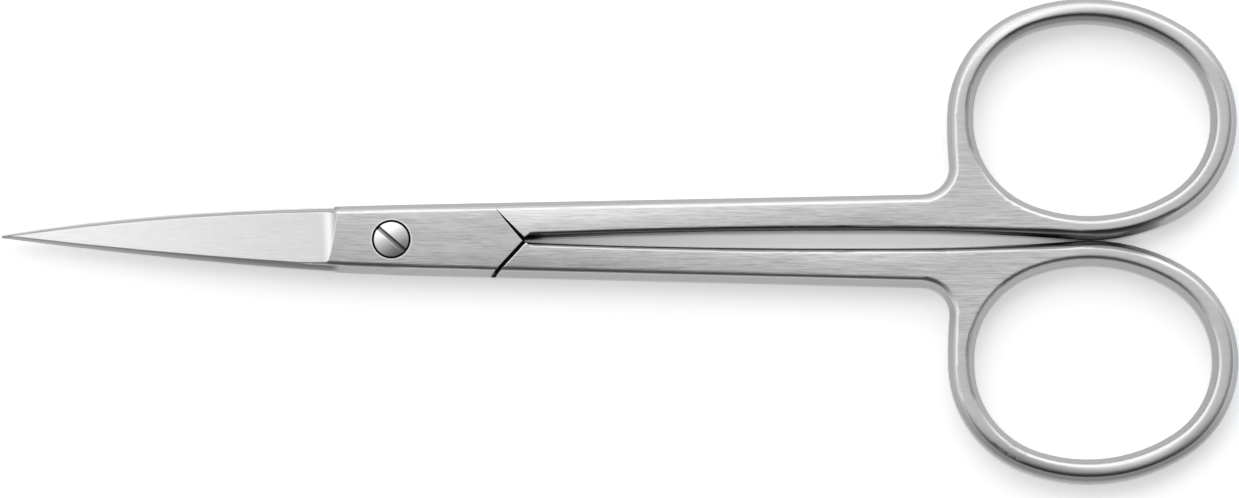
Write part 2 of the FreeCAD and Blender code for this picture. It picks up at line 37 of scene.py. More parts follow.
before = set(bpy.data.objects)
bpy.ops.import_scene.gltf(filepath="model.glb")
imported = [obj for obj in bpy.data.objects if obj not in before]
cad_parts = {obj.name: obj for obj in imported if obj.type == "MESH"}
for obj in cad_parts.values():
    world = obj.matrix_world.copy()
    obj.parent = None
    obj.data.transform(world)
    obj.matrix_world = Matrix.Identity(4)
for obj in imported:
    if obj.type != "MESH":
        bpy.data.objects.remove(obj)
CAD_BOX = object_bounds()

MILLIMETRE = 0.001

# The forging, in millimetres: its thickness, the point of the lap plate, the slope of the lap
# plate's end and the gap beyond it, the radius of the seat that the screw's head lies in, the
# turn of the driver slot, and the end of the straight shank
THICKNESS = 3.4
CROTCH = 12.3
LAP_SLOPE = math.radians(47.5)
SHOULDER_GAP = 0.36
SEAT_RADIUS = 1.77
SLOT_TURN = math.radians(-41.0)
RING_START = 47.0
# Oval through the middle of a finger ring's wall: its middle and half its length and height, in
# millimetres, then half the wall's width as a share of these
RING_MIDDLE = (65.2, 11.4)
RING_HALF = (12.27, 10.2)
RING_WALL_SHARE = 0.13


class SteelFinish(bpy.types.PropertyGroup):
    """Brushed faces, brighter rounded edges, and painted light and shade of the two halves."""

    tone: bpy.props.FloatVectorProperty(
        name="Steel tone",
        description="Reflective colour of the stainless steel",
        subtype="COLOR",
        size=3,
        min=0.0,
        max=1.0,
        default=(0.63, 0.63, 0.63),
    )
    face_roughness: bpy.props.FloatProperty(
        name="Face roughness",
        description="Roughness of the brushed flat faces",
        subtype="FACTOR",
        min=0.0,
        max=1.0,
        default=0.34,
    )
    blade_roughness: bpy.props.FloatProperty(
        name="Blade roughness",
        description="Roughness of the finely ground blade",
        subtype="FACTOR",
        min=0.0,
        max=1.0,
        default=0.3,
    )
    edge_roughness: bpy.props.FloatProperty(
        name="Edge roughness",
        description="Roughness of the buffed edges and rounded flanks",
        subtype="FACTOR",
        min=0.0,
        max=1.0,
        default=0.2,
    )
    streak_length: bpy.props.FloatProperty(
        name="Streak length",
        description="Length of the brushing streaks, which run along the scissors",
        unit="LENGTH",
        min=0.0005,
        max=0.05,
        precision=4,
        default=0.003,
    )
    streak_width: bpy.props.FloatProperty(
        name="Streak width",
        description="Width of one brushing streak",
        unit="LENGTH",
        min=0.00002,
        max=0.002,
        precision=5,
        default=0.00006,
    )
    streak_contrast: bpy.props.FloatProperty(
        name="Streak contrast",
        description="Difference in brightness between the brushing streaks",
        min=0.0,
        max=3.0,
        default=1.1,
    )
    streak_depth: bpy.props.FloatProperty(
        name="Streak depth",
        description="Depth of the brushing on the faces",
        unit="LENGTH",
        min=0.0,
        max=0.0001,
        precision=7,
        default=0.0000008,
    )
    face_roll: bpy.props.FloatProperty(
        name="Face roll-off",
        description="Slope by which the flat faces roll off at their edges",
        min=0.0,
        max=0.5,
        default=0.105,
    )
    blade_turn: bpy.props.FloatProperty(
        name="Blade turn",
        description="Slope by which the blade's grind is turned towards the cutting edge at the heel",
        min=-0.5,
        max=0.5,
        default=-0.038,
    )
    edge_break: bpy.props.FloatProperty(
        name="Edge break",
        description="Width over which sharp edges are broken",
        unit="LENGTH",
        min=0.0,
        max=0.001,
        precision=5,
        default=0.00008,
    )
    blade_break: bpy.props.FloatProperty(
        name="Blade edge break",
        description="Width over which the edges of the ground blade are broken",
        unit="LENGTH",
        min=0.0,
        max=0.001,
        precision=5,
        default=0.00016,
    )
    shank_round: bpy.props.FloatProperty(
        name="Shank rounding",
        description="How far the edges of the shanks are softened by polishing",
        unit="LENGTH",
        min=0.0,
        max=0.002,
        precision=5,
        default=0.00012,
    )
    ring_round: bpy.props.FloatProperty(
        name="Ring rounding",
        description="How far the edges of the finger rings are softened by polishing",
        unit="LENGTH",
        min=0.0,
        max=0.002,
        precision=5,
        default=0.0002,
    )
    # Painted shade: the flanks are darker in colour to stand for the darker surroundings they reflect
    flank_share: bpy.props.FloatProperty(
        name="Flank tone",
        description="Brightness of the upright flanks beside that of the faces",
        subtype="FACTOR",
        min=0.0,
        max=1.0,
        default=0.57,
    )
    # Painted shade on the edges that face each other between the shanks
    between_share: bpy.props.FloatProperty(
        name="Tone between the shanks",
        description="Brightness of the edges that face each other between the shanks",
        subtype="FACTOR",
        min=0.0,
        max=1.0,
        default=0.36,
    )
    # Painted shade: a dark line right below the edges of the blade's ground face
    line_below: bpy.props.FloatProperty(
        name="Line below the edge",
        description="Brightness right below the edges of the blade's ground face",
        min=0.0,
        max=2.0,
        default=0.45,
    )
    # Painted highlight: a bright line on the ground face right at its edges
    line_on_face: bpy.props.FloatProperty(
        name="Line on the face",
        description="Brightness of the ground face right at its edges",
        min=0.0,
        max=2.0,
        default=1.2,
    )
    # Painted highlight on the faces at the lap line and round the screw's seat
    lit_edge: bpy.props.FloatProperty(
        name="Lit edge",
        description="Brightness of the faces at the lap line and round the screw's seat",
        min=0.0,
        max=3.0,
        default=1.5,
    )
    # Painted shade on the rings' outermost bevels, on the side turned from the light
    far_bevel: bpy.props.FloatProperty(
        name="Far bevel",
        description="Brightness of the rings' outermost bevels on the side turned from the light",
        min=0.0,
        max=2.0,
        default=0.5,
    )
    # Painted light from the floor on the lower half of the edges that face each other
    low_flank: bpy.props.FloatProperty(
        name="Low flank",
        description="Brightness of the lower half of the edges that face each other",
        min=0.0,
        max=5.0,
        default=1.7,
    )
    # Brightness of the shade painted into the lap gap, the crotch and round the screw's head
    painted_shade_tone: bpy.props.FloatProperty(
        name="Painted shade tone",
        description="Brightness of the steel in the lap gap and round the screw's head",
        subtype="FACTOR",
        min=0.0,
        max=1.0,
        default=0.08,
    )


class ScrewFinish(bpy.types.PropertyGroup):
    """Turned finish of the pivot screw, with painted shade and a painted highlight on its slot and
    rim.
    """

    tone: bpy.props.FloatVectorProperty(
        name="Screw tone",
        description="Reflective colour of the screw",
        subtype="COLOR",
        size=3,
        min=0.0,
        max=1.0,
        default=(0.63, 0.63, 0.63),
    )
    roughness: bpy.props.FloatProperty(
        name="Screw roughness",
        description="Roughness of the screw's head",
        subtype="FACTOR",
        min=0.0,
        max=1.0,
        default=0.24,
    )
    head_lean: bpy.props.FloatProperty(
        name="Head lean",
        description="Slope added to the head's dome at its rim by polishing",
        min=0.0,
        max=0.5,
        default=0.17,
    )
    ring_spacing: bpy.props.FloatProperty(
        name="Turning ring spacing",
        description="Distance between the fine rings left by turning the head",
        unit="LENGTH",
        min=0.00001,
        max=0.001,
        precision=5,
        default=0.00009,
    )
    # Brightness of the shade painted into the driver slot and below the head's rim
    painted_shade_tone: bpy.props.FloatProperty(
        name="Painted shade tone",
        description="Brightness of the steel in the driver slot and below the head's rim",
        subtype="FACTOR",
        min=0.0,
        max=1.0,
        default=0.12,
    )


class StudioLook(bpy.types.PropertyGroup):
    """Floor, light and camera."""

    floor_tone: bpy.props.FloatVectorProperty(
        name="Floor colour",
        description="Colour of the white floor",
        subtype="COLOR",
        size=3,
        min=0.0,
        max=1.0,
        default=(0.96, 0.96, 0.96),
    )
    floor_width: bpy.props.FloatProperty(
        name="Floor width",
        description="Width of the floor",
        unit="LENGTH",
        min=0.1,
        default=6.0,
    )
    floor_glow: bpy.props.FloatProperty(
        name="Floor glow",
        description="White added to the floor where the camera or a reflection sees it",
        subtype="FACTOR",
        min=0.0,
        max=1.0,
        default=0.41,
    )
    side_light: bpy.props.FloatProperty(
        name="Side light",
        description="Brightness of the studio towards its left and right sides",
        min=0.0,
        max=4.0,
        default=0.6,
    )
    light_turn: bpy.props.FloatProperty(
        name="Light direction",
        description="Turn of the softbox from straight above the picture towards its left",
        subtype="ANGLE",
        default=math.radians(28.0),
    )
    camera_tilt: bpy.props.FloatProperty(
        name="Camera tilt",
        description="Lean of the camera from straight above towards the picture's bottom",
        subtype="ANGLE",
        default=math.radians(6.5),
    )
    camera_distance: bpy.props.FloatProperty(
        name="Camera distance",
        description="Distance of the camera from the scissors",
        unit="LENGTH",
        min=0.1,
        default=0.9,
    )
    view_width: bpy.props.FloatProperty(
        name="View width",
        description="Width of the picture at the scissors",
        unit="LENGTH",
        min=0.01,
        precision=4,
        default=0.1153,
    )


# Distance between the columns and rows of nodes, and the groups' sockets that hold a direction
NODE_SPACING = (190, 170)
VECTOR_SOCKETS = ("Surface", "Normal", "Outward")


def add_node(tree, kind, label, **settings):
    """New node with a label and settings of its own."""
    node = tree.nodes.new(kind)
    node.label = label
    for name, value in settings.items():
        setattr(node, name, value)
    return node


def feed(tree, socket, value):
    """Set a socket's value, or link another socket to it."""
    if isinstance(value, bpy.types.NodeSocket):
        tree.links.new(value, socket)
    else:
        socket.default_value = value


def add_math(tree, operation, label, *values, clamp=False):
    """Math node fed by numbers or sockets."""
    node = add_node(tree, "ShaderNodeMath", label, operation=operation, use_clamp=clamp)
    for socket, value in zip(node.inputs, values):
        feed(tree, socket, value)
    return node.outputs["Value"]


def add_product(tree, label, first, *others):
    """Product of numbers or sockets."""
    for other in others:
        first = add_math(tree, "MULTIPLY", label, first, other)
    return first


def add_vector(tree, operation, label, *values, scale=None):
    """Vector math node fed by vectors or sockets."""
    node = add_node(tree, "ShaderNodeVectorMath", label, operation=operation)
    for socket, value in zip(node.inputs, values):
        feed(tree, socket, value)
    if scale is not None:
        feed(tree, node.inputs["Scale"], scale)
    is_number = operation in ("LENGTH", "DISTANCE", "DOT_PRODUCT")
    return node.outputs["Value" if is_number else "Vector"]


def add_range(tree, label, value, low, high, to_low=0.0, to_high=1.0):
    """Smooth step of a value from one range to another."""
    node = add_node(tree, "ShaderNodeMapRange", label, interpolation_type="SMOOTHSTEP", clamp=True)
    feed(tree, node.inputs["Value"], value)
    feed(tree, node.inputs["From Min"], low)
    feed(tree, node.inputs["From Max"], high)
    feed(tree, node.inputs["To Min"], to_low)
    feed(tree, node.inputs["To Max"], to_high)
    return node.outputs["Result"]


def add_blend(tree, label, share, first, second):
    """Mix of two numbers."""
    node = add_node(tree, "ShaderNodeMix", label, data_type="FLOAT")
    feed(tree, node.inputs["Factor"], share)
    feed(tree, node.inputs["A"], first)
    feed(tree, node.inputs["B"], second)
    return node.outputs["Result"]


def add_direction(tree, label, along, across):
    """Vector in the plane of the scissors."""
    node = add_node(tree, "ShaderNodeCombineXYZ", label)
    feed(tree, node.inputs["X"], along)
    feed(tree, node.inputs["Y"], across)
    return node.outputs["Vector"]


def add_place(tree):
    """Place on the piece in millimetres: as a vector, along the scissors, across them and up."""
    where = add_node(tree, "ShaderNodeTexCoord", "Place on the piece").outputs["Object"]
    place = add_vector(tree, "SCALE", "In millimetres", where, scale=1 / MILLIMETRE)
    parts = add_node(tree, "ShaderNodeSeparateXYZ", "Along, across and up")
    feed(tree, parts.inputs[0], place)
    return place, parts.outputs["X"], parts.outputs["Y"], parts.outputs["Z"]


def add_lean(tree, surface, lean):
    """Surface direction that leans over by a vector given on the piece."""
    turned = add_node(
        tree, "ShaderNodeVectorTransform", "To the world",
        vector_type="VECTOR", convert_from="OBJECT", convert_to="WORLD",
    )
    feed(tree, turned.inputs[0], lean)
    leaning = add_vector(tree, "ADD", "Leaning", surface, turned.outputs[0])
    return add_vector(tree, "NORMALIZE", "Even length", leaning)


def arrange(tree):
    """Lay out the nodes in columns, each node to the right of all that feed it."""
    columns = dict.fromkeys(tree.nodes.keys(), 0)
    for _ in tree.nodes:
        for link in tree.links:
            after = columns[link.from_node.name] + 1
            columns[link.to_node.name] = max(columns[link.to_node.name], after)
    filled = {}
    for node in tree.nodes:
        column = columns[node.name]
        row = filled.get(column, 0)
        filled[column] = row + 1
        node.location = (column * NODE_SPACING[0], -row * NODE_SPACING[1])


def new_group(name, inputs, outputs):
    """Shader node group with named sockets, and the sockets inside it that stand for them."""
    tree = bpy.data.node_groups.new(name, "ShaderNodeTree")
    for direction, labels in (("INPUT", inputs), ("OUTPUT", outputs)):
        for label in labels:
            kind = "NodeSocketVector" if label in VECTOR_SOCKETS else "NodeSocketFloat"
            tree.interface.new_socket(label, in_out=direction, socket_type=kind)
    start = add_node(tree, "NodeGroupInput", "Settings").outputs if inputs else None
    end = add_node(tree, "NodeGroupOutput", "Result")
    return tree, start, end.inputs


def add_group(tree, group, label, **values):
    """Outputs of a node that holds a group, with its inputs set."""
    node = add_node(tree, "ShaderNodeGroup", label, node_tree=group)
    for name, value in values.items():
        feed(tree, node.inputs[name.replace("_", " ").capitalize()], value)
    return node.outputs


# Layers of the brushing: label, share of the streaks' length and width, detail and weight
BRUSHING_LAYERS = (
    ("Streaks", 1.0, 1.0, 3.0, 1.0),
    ("Fine streaks", 0.4, 0.7, 1.0, 0.6),
    ("Broad bands", 2.5, 12.0, 1.0, 0.12),
)
STREAK_ROUGHNESS = 0.55


def brushing_group():
    """Streaks of brushing along X, about zero, with a broad unevenness below them."""
    tree, given, result = new_group("Brushing", ("Length", "Width", "Offset"), ("Pattern",))
    where = add_node(tree, "ShaderNodeTexCoord", "Place on the piece").outputs["Object"]
    shifted = add_vector(tree, "ADD", "Shift", where, given["Offset"])
    pattern = 0.0
    for label, length_share, width_share, detail, weight in BRUSHING_LAYERS:
        length = add_math(tree, "MULTIPLY", "%s: length" % label, given["Length"], length_share)
        width = add_math(tree, "MULTIPLY", "%s: width" % label, given["Width"], width_share)
        cell = add_node(tree, "ShaderNodeCombineXYZ", "%s: cell" % label)
        feed(tree, cell.inputs["X"], length)
        feed(tree, cell.inputs["Y"], width)
        feed(tree, cell.inputs["Z"], width)
        scaled = add_vector(tree, "DIVIDE", "%s: scale" % label, shifted, cell.outputs[0])
        noise = add_node(tree, "ShaderNodeTexNoise", label)
        feed(tree, noise.inputs["Vector"], scaled)
        noise.inputs["Scale"].default_value = 1.0
        noise.inputs["Detail"].default_value = detail
        noise.inputs["Roughness"].default_value = STREAK_ROUGHNESS
        about_zero = add_math(tree, "SUBTRACT", "%s: about zero" % label, noise.outputs["Fac"], 0.5)
        pattern = add_math(tree, "MULTIPLY_ADD", "%s: added" % label, about_zero, weight, pattern)
    feed(tree, result["Pattern"], pattern)
    arrange(tree)
    return tree


def level_group():
    """One on faces that look up or down, falling to zero over steeper ones."""
    tree, given, result = new_group("Level Faces", ("Steep", "Level"), ("Mask",))
    direction = add_node(tree, "ShaderNodeTexCoord", "Surface direction").outputs["Normal"]
    parts = add_node(tree, "ShaderNodeSeparateXYZ", "Direction parts")
    feed(tree, parts.inputs[0], direction)
    upright = add_math(tree, "ABSOLUTE", "Up or down", parts.outputs["Z"])
    feed(tree, result["Mask"], add_range(tree, "Mask", upright, given["Steep"], given["Level"]))
    arrange(tree)
    return tree


# Where a ring's mask fades over its band, then where its neck ends, along it and outwards, and
# where its outermost arc starts, in shares of its half length and height
RING_FADE = (1.35, 0.75)
NECK_ALONG = (-0.45, 0.2)
NECK_OUTWARD = (-0.45, 0.1)
FAR_ARC = (0.2, 0.9)


def ring_group():
    """Place on the finger rings, which are ovals about a point on each shank's side.

    Band runs from -1 to 1 over the ring's width, Ring is one on the rings but for their necks,
    Far is one on their outermost arcs, and Outward points away from the ring's middle.
    """
    tree, given, result = new_group("Ring Place", ("Side",), ("Band", "Ring", "Far", "Outward"))
    _, along, across, _ = add_place(tree)
    along = add_math(tree, "SUBTRACT", "From the middle", along, RING_MIDDLE[0])
    along = add_math(tree, "DIVIDE", "Share of the length", along, RING_HALF[0])
    middle = add_math(tree, "MULTIPLY", "Middle of this ring", given["Side"], RING_MIDDLE[1])
    across = add_math(tree, "SUBTRACT", "Above the middle", across, middle)
    across = add_math(tree, "DIVIDE", "Share of the height", across, RING_HALF[1])
    away = add_direction(tree, "Away from the middle", along, across)
    reach = add_vector(tree, "LENGTH", "Reach", away)
    band = add_math(tree, "SUBTRACT", "Off the middle line", reach, 1.0)
    band = add_math(tree, "DIVIDE", "Band", band, RING_WALL_SHARE)
    outer = add_math(tree, "MULTIPLY", "Outwards on this side", across, given["Side"])

    on_ring = add_range(tree, "On the ring", band, *RING_FADE)
    past_neck = add_range(tree, "Past the neck", along, *NECK_ALONG)
    above_neck = add_range(tree, "Above the neck", outer, *NECK_OUTWARD)
    off_neck = add_math(tree, "MAXIMUM", "Off the neck", past_neck, above_neck)
    feed(tree, result["Band"], band)
    feed(tree, result["Ring"], add_product(tree, "Ring without its neck", on_ring, off_neck))
    feed(tree, result["Far"], add_range(tree, "Far arc", outer, *FAR_ARC))
    feed(tree, result["Outward"], add_vector(tree, "NORMALIZE", "Outward", away))
    arrange(tree)
    return tree


# The faces roll off towards their edges over a broad strip on the joint and a narrow one on the
# shank, and less suddenly on the shank. The edges are lines: rise along the scissors, then height.
JOINT_TO_SHANK = (8.0, 17.0)
ROLL_WIDTHS = (3.3, 1.75)
ROLL_POWERS = (2.0, 1.2)
OUTER_EDGE = (0.02, 3.32)
JOINT_LOW_EDGE = (-0.02, -3.2)
INNER_EDGE = (0.0156, 0.0)
# Lean of the middle of the faces, as a share of the roll-off: on the joint, and at the shank's
# start, from where it fades along the shank, and where all of it ends before the ring
JOINT_LEAN = -0.28
SHANK_LEAN = 0.65
SHANK_SPAN = (46.0, 14.0)
BEFORE_RING = (54.0, 44.0)
# Where the lean gives way to the blade's turn, and the blade from heel to tip with the turn there
BLADE_HEEL = (-5.0, -7.0)
BLADE_SPAN = (-4.0, -36.0)
HEEL_TO_TIP_TURN = (1.0, -0.6)
# Lean of the rings' faces: for each share of the width on the near and far arcs, then of the whole
RING_CREST = (0.1, 0.6)
RING_LEAN = 0.05


def add_roll(tree, distance, reach, power):
    """One at an edge, falling to zero at a distance from it."""
    share = add_math(tree, "DIVIDE", "Share of the roll-off", distance, reach)
    roll = add_math(tree, "SUBTRACT", "Near the edge", 1.0, share, clamp=True)
    return add_math(tree, "POWER", "Roll-off", roll, power)


def rolled_faces_group(ring_place):
    """Surface direction of the hand-ground faces, which roll off towards both of their edges.

    Side is 1 for the half whose shank lies at +Y and -1 for the other one.
    """
    tree, given, result = new_group(
        "Rolled Faces", ("Side", "Roll", "Blade turn", "Faces", "Surface"), ("Normal",)
    )
    _, along, across, _ = add_place(tree)
    across = add_math(tree, "MULTIPLY", "Across, shank up", across, given["Side"])
    power = add_range(tree, "Roll power", along, *JOINT_TO_SHANK, *ROLL_POWERS)

    edge = add_math(tree, "MULTIPLY_ADD", "Outer edge", along, *OUTER_EDGE)
    distance = add_math(tree, "SUBTRACT", "From the outer edge", edge, across)
    reach = add_range(tree, "Outer roll width", along, *JOINT_TO_SHANK, *ROLL_WIDTHS)
    outer = add_roll(tree, distance, reach, power)

    height = add_math(tree, "ABSOLUTE", "Off the centre line", across)
    lap = add_math(tree, "MULTIPLY_ADD", "Lap line", height, 1 / math.tan(LAP_SLOPE), along)
    shank = add_math(tree, "GREATER_THAN", "Past the lap line", lap, CROTCH)
    low_edge = add_math(tree, "MULTIPLY_ADD", "Lower edge", along, *JOINT_LOW_EDGE)
    inner_edge = add_math(tree, "MULTIPLY_ADD", "Inner edge", along, *INNER_EDGE)
    edge = add_blend(tree, "Edge below", shank, low_edge, inner_edge)
    distance = add_math(tree, "SUBTRACT", "From the edge below", across, edge)
    reach = add_blend(tree, "Roll width below", shank, *ROLL_WIDTHS)
    inner = add_roll(tree, distance, reach, power)

    rolls = add_math(tree, "SUBTRACT", "Both roll-offs", outer, inner)
    outward = add_range(tree, "Outward on the shank", along, *SHANK_SPAN, 0.0, SHANK_LEAN)
    middle = add_blend(tree, "Joint or shank", shank, JOINT_LEAN, outward)
    lean = add_math(tree, "ADD", "With the middle's lean", rolls, middle)
    until_ring = add_range(tree, "Until the ring", along, *BEFORE_RING)
    lean = add_product(tree, "Lean of the faces", lean, given["Roll"], until_ring)
    towards_tip = add_range(tree, "Towards the tip", along, *BLADE_SPAN, *HEEL_TO_TIP_TURN)
    turn = add_math(tree, "MULTIPLY", "Turn of the blade", towards_tip, given["Blade turn"])
    ground = add_range(tree, "Ground blade", along, *BLADE_HEEL)
    lean = add_blend(tree, "Lean or turn", ground, lean, turn)
    lean = add_math(tree, "MULTIPLY", "Lean to its side", lean, given["Side"])
    lean = add_direction(tree, "Lean across", 0.0, lean)

    ring = add_group(tree, ring_place, "Ring place", side=given["Side"])
    crest = add_blend(tree, "Crest", ring["Far"], *RING_CREST)
    tilt = add_math(tree, "MULTIPLY", "Ring's lean", ring["Far"], RING_LEAN)
    slope = add_math(tree, "MULTIPLY_ADD", "Slope outwards", crest, ring["Band"], tilt)
    slope = add_math(tree, "MULTIPLY", "On the ring", slope, ring["Ring"])
    ring_lean = add_vector(tree, "SCALE", "Lean outwards", ring["Outward"], scale=slope)
    both = add_vector(tree, "ADD", "Both leans", lean, ring_lean)
    both = add_vector(tree, "SCALE", "On the faces", both, scale=given["Faces"])
    feed(tree, result["Normal"], add_lean(tree, given["Surface"], both))
    arrange(tree)
    return tree


# Painted shade in the lap gap: half its width along the lap line on the faces and on the flanks,
# and the places off the centre line between which the faces give way to the flanks
LAP_SHADE_WIDTH = (0.3, 0.2)
FLANK_START = (2.75, 3.05)
# Depth below a face over which the painted shade sets in, and how far it reaches below an open gap
SHADE_DEPTH = (0.02, 0.16)
SHADE_BELOW = 0.45
# Painted shade in the crotch: where it fades and starts, past the crotch, and its reach off the centre
# line
CROTCH_FADE = (2.2, 0.6)
CROTCH_START = -0.4
CROTCH_REACH = 0.6
# Its rounded corner there, a disc of painted shade: how far past the crotch, and its radius
CORNER_PLACE = 0.34
CORNER_RADIUS = 0.38
# Painted shade outside the screw's seat, and the depth of the seat's rim, which is painted dark as
# shade
SEAT_SHADE = 0.04
RIM_DEPTH = 0.3
# Painted highlights on the edges of the faces: how far beside the lap line's middle and outside the
# screw's seat, how they fade, and where the one along the lap line ends before the bevel
LAP_EDGE = 0.3
LAP_EDGE_FADE = (0.1, 0.05)
LAP_EDGE_END = (2.9, 2.6)
SEAT_EDGE = 0.1
SEAT_EDGE_FADE = (0.08, 0.03)


def joint_group():
    """Painted shade is one where shade is painted on the steel in the lap gap, the crotch, its rounded
    corner and round the screw's seat, and Lit edge is a painted highlight on the edges beside it.
    """
    tree, _, result = new_group("Painted Joint Shade", (), ("Painted shade", "Lit edge"))
    place, along, across, up = add_place(tree)
    height = add_math(tree, "ABSOLUTE", "Off the centre line", across)
    side = add_math(tree, "SIGN", "Side", across)

    middle = CROTCH + SHOULDER_GAP / 2 / math.sin(LAP_SLOPE)
    lap = add_math(tree, "MULTIPLY_ADD", "Lap line", height, 1 / math.tan(LAP_SLOPE), along)
    lap = add_math(tree, "SUBTRACT", "From the gap's middle", lap, middle)
    distance = add_math(tree, "ABSOLUTE", "Off the gap's middle", lap)
    near = add_range(tree, "Narrower on the flank", height, *FLANK_START, *LAP_SHADE_WIDTH)
    in_lap = add_math(tree, "LESS_THAN", "In the lap gap", distance, near)
    layer = add_math(tree, "SUBTRACT", "Above the lap faces", up, THICKNESS / 2)
    layer = add_math(tree, "MULTIPLY", "Side and layer", layer, side)
    limit = add_math(tree, "MULTIPLY_ADD", "Painted shade below the gap", side, -SHADE_BELOW, SHADE_BELOW)
    open_side = add_math(tree, "LESS_THAN", "Where the gap runs out", layer, limit)
    on_face = add_range(tree, "Short of the flank", height, *reversed(FLANK_START))
    reach = add_math(tree, "MAXIMUM", "Lap line's reach", on_face, open_side)
    in_lap = add_math(tree, "MULTIPLY", "In the lap line", in_lap, reach)

    past = add_math(tree, "SUBTRACT", "Past the crotch", along, CROTCH)
    until = add_range(tree, "Short of the open gap", past, *CROTCH_FADE)
    beside = add_math(tree, "LESS_THAN", "Between the shanks", height, CROTCH_REACH)
    behind = add_math(tree, "GREATER_THAN", "Behind the plates", past, CROTCH_START)
    crotch = add_product(tree, "In the crotch", until, beside, behind)
    in_lap = add_math(tree, "MAXIMUM", "Lap line or crotch", in_lap, crotch)

    flat = add_vector(tree, "MULTIPLY", "Across the axis", place, (1.0, 1.0, 0.0))
    radius = add_vector(tree, "LENGTH", "Radius", flat)
    seat = add_math(tree, "LESS_THAN", "In the seat", radius, SEAT_RADIUS + SEAT_SHADE)
    painted_shade_place = add_math(tree, "MAXIMUM", "In the gap or seat", in_lap, seat)
    depth = add_math(tree, "SUBTRACT", "Above the middle", up, THICKNESS / 2)
    depth = add_math(tree, "ABSOLUTE", "Off the middle", depth)
    inside = add_range(
        tree, "Below the faces", depth, THICKNESS / 2 - SHADE_DEPTH[0], THICKNESS / 2 - SHADE_DEPTH[1]
    )
    # Shade painted below the faces in the lap gap, the crotch and the screw's seat
    painted_shade = add_math(tree, "MULTIPLY", "Painted shade below the faces", painted_shade_place, inside)
    # The seat's rim near the front face is painted dark as shade
    top = add_math(tree, "GREATER_THAN", "Near the front face", up, THICKNESS - RIM_DEPTH)
    rim = add_math(tree, "MULTIPLY", "Seat's rim", seat, top)
    # A disc of painted shade rounds off the crotch's corner
    corner = add_vector(tree, "DISTANCE", "From the corner", flat, (CROTCH + CORNER_PLACE, 0.0, 0.0))
    corner = add_math(tree, "LESS_THAN", "Rounded corner", corner, CORNER_RADIUS)
    painted_shade = add_math(tree, "MAXIMUM", "Painted shade and rim", painted_shade, rim)
    feed(tree, result["Painted shade"], add_math(tree, "MAXIMUM", "Painted shade and corner", painted_shade, corner))

    # Painted highlight beside the lap line and round the seat's edge
    lit = add_math(tree, "MULTIPLY_ADD", "From the lit edge", lap, side, LAP_EDGE)
    lit = add_math(tree, "ABSOLUTE", "Off the lit edge", lit)
    lit = add_range(tree, "Edge of the lap line", lit, *LAP_EDGE_FADE)
    before_bevel = add_range(tree, "Up to the bevel", height, *LAP_EDGE_END)
    lit = add_math(tree, "MULTIPLY", "Lit lap edge", lit, before_bevel)
    around = add_math(tree, "SUBTRACT", "From the seat's edge", radius, SEAT_RADIUS + SEAT_EDGE)
    around = add_math(tree, "ABSOLUTE", "Off the seat's edge", around)
    around = add_range(tree, "Edge of the seat", around, *SEAT_EDGE_FADE)
    feed(tree, result["Lit edge"], add_math(tree, "MAXIMUM", "Lit edges", lit, around))
    arrange(tree)
    return tree


def new_steel(name):
    """Empty metal material with its Principled shader."""
    material = bpy.data.materials.new(name)
    material.use_nodes = True
    tree = material.node_tree
    tree.nodes.clear()
    shader = add_node(tree, "ShaderNodeBsdfPrincipled", "Steel")
    output = add_node(tree, "ShaderNodeOutputMaterial", "Surface")
    shader.inputs["Metallic"].default_value = 1.0
    feed(tree, output.inputs["Surface"], shader.outputs["BSDF"])
    return material, tree, shader


# How level a surface is from its edge inwards, as its direction's upright part: flat faces, and
# all but the flanks
FACE_LEVEL = {"steep": 0.93, "level": 0.985}
FLANK_LEVEL = {"steep": 0.45, "level": 0.8}
# Where the blade's finer grind and the blade's own edge break start, and the length over which
# the edge break changes at the shank and at the ring
BLADE_START = (-4.6, -5.6)
BLADE_BREAK_START = (-6.0, -4.5)
SHANK_CHANGE = (-1.0, 3.0)
RING_CHANGE = 4.0
# How much brushing shows on the blade, on the rings, and on edges and flanks
BLADE_BRUSHING = 0.2
RING_BRUSHING = 0.2
EDGE_BRUSHING = 0.12


def half_zones(tree, groups, side):
    """Where a point of a half lies, and how far it belongs to each kind of surface.

    Side is 1 for the half whose shank lies at +Y and -1 for the other one.
    """
    _, along, across, up = add_place(tree)
    face = add_group(tree, groups.level, "Flat faces", **FACE_LEVEL)["Mask"]
    joint = add_group(tree, groups.joint, "Painted shade at the joint")
    return SimpleNamespace(
        side=side,
        along=along,
        up=up,
        height=add_math(tree, "ABSOLUTE", "Off the centre line", across),
        face=face,
        off_face=add_math(tree, "SUBTRACT", "Off the flat faces", 1.0, face),
        off_flank=add_group(tree, groups.level, "Off the flanks", **FLANK_LEVEL)["Mask"],
        blade=add_range(tree, "Ground blade", along, *BLADE_START),
        ring=add_group(tree, groups.ring, "Ring place", side=side),
        painted_shade=joint["Painted shade"],
        lit_edge=joint["Lit edge"],
    )


def broken_edges(tree, finish, zone):
    """Surface direction with broken edges, which are rounder on the blade, shank and ring."""
    radius = add_range(
        tree, "Blade or joint", zone.along, *BLADE_BREAK_START, finish.blade_break, finish.edge_break
    )
    shank = (CROTCH + SHANK_CHANGE[0], CROTCH + SHANK_CHANGE[1])
    radius = add_range(tree, "Rounder shank", zone.along, *shank, radius, finish.shank_round)
    ring = (RING_START, RING_START + RING_CHANGE)
    radius = add_range(tree, "Rounder ring", zone.along, *ring, radius, finish.ring_round)
    bevel = add_node(tree, "ShaderNodeBevel", "Broken edges", samples=6)
    feed(tree, bevel.inputs["Radius"], radius)
    return bevel.outputs["Normal"]


